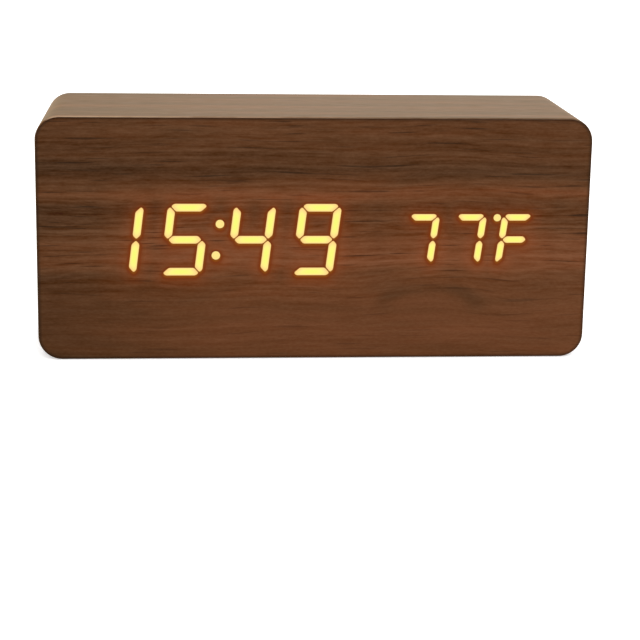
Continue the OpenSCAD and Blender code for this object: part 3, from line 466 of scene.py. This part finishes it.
# Diffuser sheet and reflector: a die-cut matt polyester sheet behind the film, and a white
# ABS moulding with a cell for each segment, which keeps the light of one out of the next.
def moulded(name, dark, light, rough_low, rough_high, grain_mm, depth):
    """Moulded plastic: even colour with a fine eroded texture, in grains of a given size."""
    plastic, tree = blank(name)
    place = add(tree, "ShaderNodeTexCoord", {})["Object"]
    grain = add(tree, "ShaderNodeTexNoise", {"Vector": place, "Scale": 1000 / grain_mm, "Detail": 2.0})
    patch = add(tree, "ShaderNodeTexNoise", {"Vector": place, "Scale": 1 / 0.012, "Detail": 2.0})
    colour = add(tree, "ShaderNodeValToRGB", {"Fac": patch["Fac"]}, stops=((0.3, dark), (0.7, light)))
    rough = add(tree, "ShaderNodeMapRange", {"Value": grain["Fac"], "From Min": 0.3, "From Max": 0.7,
                                             "To Min": rough_low, "To Max": rough_high})
    relief = add(tree, "ShaderNodeBump", {"Height": grain["Fac"], "Strength": 0.4, "Distance": depth})
    shader = add(tree, "ShaderNodeBsdfPrincipled", {
        "Base Color": colour["Color"], "Roughness": rough["Result"], "Normal": relief["Normal"], "IOR": 1.5})
    add(tree, "ShaderNodeOutputMaterial", {"Surface": shader["BSDF"]})
    return plastic


dress(moulded("matt_polyester_sheet", "#ece8dc", "#f4f1e8", 0.55, 0.65, 0.5, 0.00002), "diffuser_sheet")
dress(moulded("white_abs_moulding", "#efefea", "#f7f7f3", 0.40, 0.50, 0.4, 0.00002), "reflector")


# Circuit boards: glass-epoxy sheet under green solder mask, with copper tracks that show
# through as slightly raised, lighter lines. The display board carries the segment lamps.
mask, tree = blank("green_solder_mask")
place = add(tree, "ShaderNodeTexCoord", {})["Object"]
laid = add(tree, "ShaderNodeMapping", {"Vector": place, "Rotation": (math.pi / 2, 0, 0)})
# Tracks stand 1.27 mm apart, in runs of about 11 mm.
track = add(tree, "ShaderNodeTexBrick", {
    "Vector": laid["Vector"], "Scale": 1.0, "Mortar Size": 0.00016, "Mortar Smooth": 0.2,
    "Brick Width": 0.011, "Row Height": 0.00127,
    "Color1": linear("#1b5231"), "Color2": linear("#1e5835"), "Mortar": linear("#2f7a4c")})
relief = add(tree, "ShaderNodeBump", {"Height": track["Fac"], "Strength": 0.3, "Distance": 0.00004})
shader = add(tree, "ShaderNodeBsdfPrincipled", {
    "Base Color": track["Color"], "Roughness": 0.32, "Normal": relief["Normal"], "IOR": 1.5})
add(tree, "ShaderNodeOutputMaterial", {"Surface": shader["BSDF"]})
dress(mask, "display_board", "control_board")
dress(moulded("milky_epoxy", "#efe3b4", "#f6ecc4", 0.18, 0.26, 0.8, 0.00001), "segment_leds")


# Chips, resistors, switch housings, buzzer, heat sensor and the socket's tongue: black epoxy
# compound or filled plastic, pressed in a mould with a fine matt skin, most of them soldered on.
epoxy = moulded("black_epoxy", "#1c1d1f", "#242528", 0.55, 0.70, 0.15, 0.00001)
dress(epoxy, "clock_chip", "driver_chip", "chip_resistors", "switch_housings", "buzzer", "heat_sensor",
      "usb_tongue")


def joined(name):
    """Joins a CAD node's triangles."""
    join = nodes[name].modifiers.new("join", "WELD")
    join.merge_threshold = 1e-6


joined("heat_sensor")


# Pins, crystal can, screws and contacts: plated metal. Each plating has its own colour, and
# all have faint cloudy patches and drawing lines from the tools that formed them.
def plated(name, dark, light, rough_low, rough_high):
    """Plated metal: cloudy patches 3 mm across and drawing lines a tenth of a millimetre apart."""
    metal, tree = blank(name)
    place = add(tree, "ShaderNodeTexCoord", {})["Object"]
    cloud = add(tree, "ShaderNodeTexNoise", {"Vector": place, "Scale": 1 / 0.003, "Detail": 3.0})
    drawn = add(tree, "ShaderNodeMapping", {"Vector": place, "Scale": (1 / 0.004, 1 / 0.0001, 1 / 0.0001)})
    line = add(tree, "ShaderNodeTexNoise", {"Vector": drawn["Vector"], "Scale": 1.0, "Detail": 1.0})
    colour = add(tree, "ShaderNodeValToRGB", {"Fac": cloud["Fac"]}, stops=((0.3, dark), (0.7, light)))
    rough = add(tree, "ShaderNodeMapRange", {"Value": line["Fac"], "From Min": 0.3, "From Max": 0.7,
                                             "To Min": rough_low, "To Max": rough_high})
    shader = add(tree, "ShaderNodeBsdfPrincipled", {
        "Base Color": colour["Color"], "Metallic": 1.0, "Roughness": rough["Result"]})
    add(tree, "ShaderNodeOutputMaterial", {"Surface": shader["BSDF"]})
    return metal


dress(plated("bright_tin", "#bdbebd", "#d0d1d0", 0.25, 0.38), "chip_pins", "quartz_crystal")
dress(plated("zinc_plated_steel", "#a9acb0", "#bec1c4", 0.30, 0.42), "display_screws", "board_screws")
dress(plated("drawn_aluminium", "#b4b6b9", "#c6c8ca", 0.32, 0.45), "sound_sensor", "capacitor")


# Headers, plugs and ribbon: natural nylon connectors, and a flat grey cable of round cores
# side by side, joined by their jackets.
dress(moulded("natural_nylon", "#e6dfcb", "#f0eada", 0.38, 0.48, 0.3, 0.00001),
      "display_header", "control_header", "ribbon_plugs")
core_pitch = 0.00127
# Blender's wave repeats every pi / 10 at a scale of 1.
wave_step = math.pi / 10
ribbon, tree = blank("grey_pvc_ribbon")
place = add(tree, "ShaderNodeTexCoord", {})["Object"]
ridge = add(tree, "ShaderNodeTexWave", {"Vector": place, "Scale": wave_step / core_pitch, "Distortion": 0.0},
            wave_type="BANDS", bands_direction="X", wave_profile="SIN")
jacket = add(tree, "ShaderNodeValToRGB", {"Fac": ridge["Fac"]}, stops=((0.0, "#a9acaf"), (0.6, "#c6c8ca")))
relief = add(tree, "ShaderNodeBump", {"Height": ridge["Fac"], "Strength": 0.8, "Distance": 0.0002})
shader = add(tree, "ShaderNodeBsdfPrincipled", {
    "Base Color": jacket["Color"], "Roughness": 0.5, "Normal": relief["Normal"]})
add(tree, "ShaderNodeOutputMaterial", {"Surface": shader["BSDF"]})
dress(ribbon, "ribbon_cable")


# Rear cover and battery door: black ABS mouldings with a fine spark-eroded skin. The cover is
# screwed into the rebate. The door swings on two hooked tabs and is held by a sprung tongue.
mould_round = 0.00015
screw_round = 0.0001


def softened(name, width, turns):
    """Joins a CAD node's triangles and rounds its edges a little, as a mould does."""
    joined(name)
    edge = nodes[name].modifiers.new("mould_edge", "BEVEL")
    edge.width = width
    edge.segments = turns
    edge.limit_method = "ANGLE"
    edge.angle_limit = math.radians(40)
    edge.harden_normals = True


cover_abs = moulded("black_textured_abs", "#212122", "#272728", 0.48, 0.62, 0.45, 0.00005)
dress(cover_abs, "rear_cover", "battery_door")
softened("rear_cover", mould_round, 2)
softened("battery_door", mould_round, 2)
black_steel = plated("blackened_steel", "#2b2b2d", "#3a3a3c", 0.38, 0.50)
dress(black_steel, "cover_screws")
softened("cover_screws", screw_round, 2)


# Cells, contacts and wires: three cells in printed shrink sleeves between nickel-plated
# spring steel contacts, with red and black PVC wires to the control board.
cell_round = 0.0004
shell_round = 0.00012
for name in ("cell_top", "cell_middle", "cell_bottom"):
    cell_low, cell_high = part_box(name)
    turned = name == "cell_middle"
    sleeve_x = (cell_high.x, cell_low.x) if turned else (cell_low.x, cell_high.x)
    # A cell: bare steel at both ends, a dark green sleeve between, and one plain pale ring.
    cell, tree = blank("sleeved_" + name)
    place = add(tree, "ShaderNodeTexCoord", {})["Object"]
    axes = add(tree, "ShaderNodeSeparateXYZ", {"Vector": place})
    along = add(tree, "ShaderNodeMapRange",
                {"Value": axes["X"], "From Min": sleeve_x[0], "From Max": sleeve_x[1]})
    colour = add(tree, "ShaderNodeValToRGB", {"Fac": along["Result"]}, stops=(
        (0.00, "#b9bbbd"), (0.02, "#2a4a37"), (0.80, "#d9d4c2"), (0.83, "#2a4a37"), (0.955, "#c2c4c6")))
    colour[0].node.color_ramp.interpolation = "CONSTANT"
    bare = add(tree, "ShaderNodeValToRGB", {"Fac": along["Result"]}, stops=(
        (0.00, 1.0), (0.02, 0.0), (0.955, 1.0)))
    bare[0].node.color_ramp.interpolation = "CONSTANT"
    film_ripple = add(tree, "ShaderNodeTexNoise", {"Vector": place, "Scale": 1 / 0.004, "Detail": 2.0})
    rough = add(tree, "ShaderNodeMapRange", {"Value": film_ripple["Fac"], "To Min": 0.18, "To Max": 0.34})
    relief = add(tree, "ShaderNodeBump", {"Height": film_ripple["Fac"], "Strength": 0.15, "Distance": 0.0002})
    shader = add(tree, "ShaderNodeBsdfPrincipled", {
        "Base Color": colour["Color"], "Metallic": bare["Color"], "Roughness": rough["Result"],
        "Normal": relief["Normal"]})
    add(tree, "ShaderNodeOutputMaterial", {"Surface": shader["BSDF"]})
    dress(cell, name)
    softened(name, cell_round, 3)
nickel = plated("bright_nickel", "#b9b6ab", "#cdcac0", 0.16, 0.28)
dress(nickel, "contact_plates", "contact_springs", "usb_shell")
dress(moulded("red_pvc", "#a5241b", "#b52c22", 0.40, 0.50, 0.5, 0.00001), "positive_wire")
dress(moulded("black_pvc", "#1c1c1c", "#222222", 0.40, 0.50, 0.5, 0.00001), "negative_wire")
for name in ("contact_springs", "positive_wire", "negative_wire"):
    joined(name)
    smooth = nodes[name].modifiers.new("round_wire", "SUBSURF")
    smooth.levels = smooth.render_levels = 1
softened("usb_shell", shell_round, 2)


# Buttons: three small satin ABS caps on the switch plungers. Each has a sunk mark filled
# with white paint: a bar for setting, and arrows for down and up.
button_abs = moulded("satin_black_abs", "#2c2d2f", "#333436", 0.32, 0.42, 0.3, 0.00001)
white_paint = moulded("white_fill_paint", "#e4e4de", "#efefea", 0.45, 0.55, 0.3, 0.00001)
cap_round = 0.0001
mark_sunk = 0.00025
mark_round = 0.00012
paint_rise = 0.00013
arrow_r = 0.00135
bar_w, bar_h = 0.0024, 0.00042
for which, points in (("set", None), ("down", -1), ("up", 1)):
    name = which + "_button"
    dress(button_abs, name, which + "_plunger")
    softened(name, cap_round, 2)
    cap_low, cap_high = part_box(name)
    bm = bmesh.new()
    if points is None:
        bmesh.ops.create_grid(bm, x_segments=1, y_segments=1, size=0.5)
        bmesh.ops.scale(bm, vec=(bar_w, bar_h, 1), verts=bm.verts)
    else:
        bmesh.ops.create_circle(bm, cap_ends=True, segments=3, radius=arrow_r)
        turn = Matrix.Rotation((1 - points) * math.pi / 2, 3, "Z")
        bmesh.ops.rotate(bm, cent=(0, 0, 0), matrix=turn, verts=bm.verts)
    bmesh.ops.bevel(bm, geom=bm.verts[:], offset=mark_round, offset_type="OFFSET", segments=3, profile=0.5,
                    affect="VERTICES", material=-1)
    moved(bm, (0, 0, -paint_rise), bmesh.ops.extrude_face_region(bm, geom=bm.faces[:]))
    bmesh.ops.recalc_face_normals(bm, faces=bm.faces)
    bmesh.ops.rotate(bm, cent=(0, 0, 0), matrix=Matrix.Rotation(math.pi / 2, 3, "X"), verts=bm.verts)
    sunk_floor = ((cap_low.x + cap_high.x) / 2, cap_high.y - mark_sunk, (cap_low.z + cap_high.z) / 2)
    bmesh.ops.translate(bm, vec=sunk_floor, verts=bm.verts)
    piece(bm, which + "_mark", name, "button_abs", [white_paint])


# Studio: a white sheet as floor, a large soft lamp in front and above, a softer one behind,
# and an even surround. The camera stands a little left of the middle and above the clock.
floor_half = 3.0
floor_drop = 0.0001
softboxes = (
    ("front_softbox", (0.15, -0.9, 0.75), 0.8, 7.8),
    ("rear_softbox", (0.35, 0.8, 0.9), 1.2, 6.0),
)
eye = Vector((-0.0340, -0.4582, 0.1339))
pitch, yaw, roll = math.radians(12.33), math.radians(4.33), math.radians(0.93)
focal, sensor = 93.04, 36.0
frame_right, frame_down = 0.0125, 0.153


def looked_at(tree):
    """1 for the camera's rays and for what metal and glass show, 0 for the light on the object."""
    ray = add(tree, "ShaderNodeLightPath", {})
    seen = add(tree, "ShaderNodeMath", {0: ray["Is Camera Ray"], 1: ray["Is Glossy Ray"]},
               operation="MAXIMUM")
    seen = add(tree, "ShaderNodeMath", {0: seen["Value"], 1: ray["Is Transmission Ray"]},
               operation="MAXIMUM")
    return seen["Value"]


bm = bmesh.new()
bmesh.ops.create_grid(bm, x_segments=8, y_segments=8, size=floor_half)
bmesh.ops.translate(bm, vec=(0, 0, case_low.z - floor_drop), verts=bm.verts)
mesh = bpy.data.meshes.new("paper_floor")
bm.to_mesh(mesh)
bm.free()
floor = bpy.data.objects.new("paper_floor", mesh)
bpy.context.scene.collection.objects.link(floor)
# White studio paper: matt, with a faint tooth. A veil of its own light shows it white where no
# shadow falls, a little less round the clock than further out.
paper, tree = blank("studio_paper")
place = add(tree, "ShaderNodeTexCoord", {})["Object"]
tooth = add(tree, "ShaderNodeTexNoise", {"Vector": place, "Scale": 1 / 0.002, "Detail": 2.0})
white = add(tree, "ShaderNodeValToRGB", {"Fac": tooth["Fac"]}, stops=((0.3, "#f4f4f4"), (0.7, "#f8f8f8")))
spread = add(tree, "ShaderNodeMapping", {"Vector": place, "Scale": (1 / 0.9, 1 / 0.9, 0)})
near = add(tree, "ShaderNodeTexGradient", {"Vector": spread["Vector"]}, gradient_type="SPHERICAL")
veil = add(tree, "ShaderNodeMapRange", {"Value": near["Fac"], "To Min": 0.62, "To Max": 0.5})
veil = add(tree, "ShaderNodeMath", {0: looked_at(tree), 1: veil["Result"]}, operation="MULTIPLY")
shader = add(tree, "ShaderNodeBsdfPrincipled", {
    "Base Color": white["Color"], "Roughness": 0.95, "Specular IOR Level": 0.0,
    "Emission Color": (1, 1, 1, 1), "Emission Strength": veil["Value"]})
add(tree, "ShaderNodeOutputMaterial", {"Surface": shader["BSDF"]})
mesh.materials.append(paper)

# The surround is plain white to look at, and lights the object evenly, more from above.
world = bpy.data.worlds.new("studio_surround")
world.use_nodes = True
bpy.context.scene.world = world
tree = world.node_tree
tree.nodes.clear()
sky = add(tree, "ShaderNodeTexCoord", {})["Generated"]
up_there = add(tree, "ShaderNodeSeparateXYZ", {"Vector": sky})["Z"]
dome = add(tree, "ShaderNodeMapRange", {"Value": up_there, "From Max": 0.8, "To Min": 0.3, "To Max": 0.75})
level = add(tree, "ShaderNodeMix", {"Factor": looked_at(tree), 2: dome["Result"], 3: 1.0}, data_type="FLOAT")
back = add(tree, "ShaderNodeBackground", {"Color": (1, 1, 1, 1), "Strength": level[0]})
add(tree, "ShaderNodeOutputWorld", {"Surface": back["Background"]})

for name, stand, size, watts in softboxes:
    lamp = bpy.data.lights.new(name, "AREA")
    lamp.energy = watts
    lamp.size = size
    holder = bpy.data.objects.new(name, lamp)
    holder.location = stand
    to_clock = Vector((0, 0, case_mid)) - holder.location
    holder.rotation_euler = to_clock.to_track_quat("-Z", "Y").to_euler()
    holder.visible_camera = False
    bpy.context.scene.collection.objects.link(holder)

lens = bpy.data.cameras.new("photo_camera")
lens.lens, lens.sensor_width = focal, sensor
lens.shift_x, lens.shift_y = frame_right, -frame_down
lens.clip_start, lens.clip_end = 0.01, 20
camera = bpy.data.objects.new("photo_camera", lens)
ahead = Vector((math.sin(yaw) * math.cos(pitch), math.cos(yaw) * math.cos(pitch), -math.sin(pitch)))
right = Vector((math.cos(yaw), -math.sin(yaw), 0))
up = right.cross(ahead)
tilted_right = right * math.cos(roll) + up * math.sin(roll)
tilted_up = up * math.cos(roll) - right * math.sin(roll)
turned_to = Matrix((tilted_right, tilted_up, -ahead)).transposed().to_4x4()
camera.matrix_world = Matrix.Translation(eye) @ turned_to
bpy.context.scene.collection.objects.link(camera)
bpy.context.scene.camera = camera
bpy.context.scene.view_settings.view_transform = "Standard"
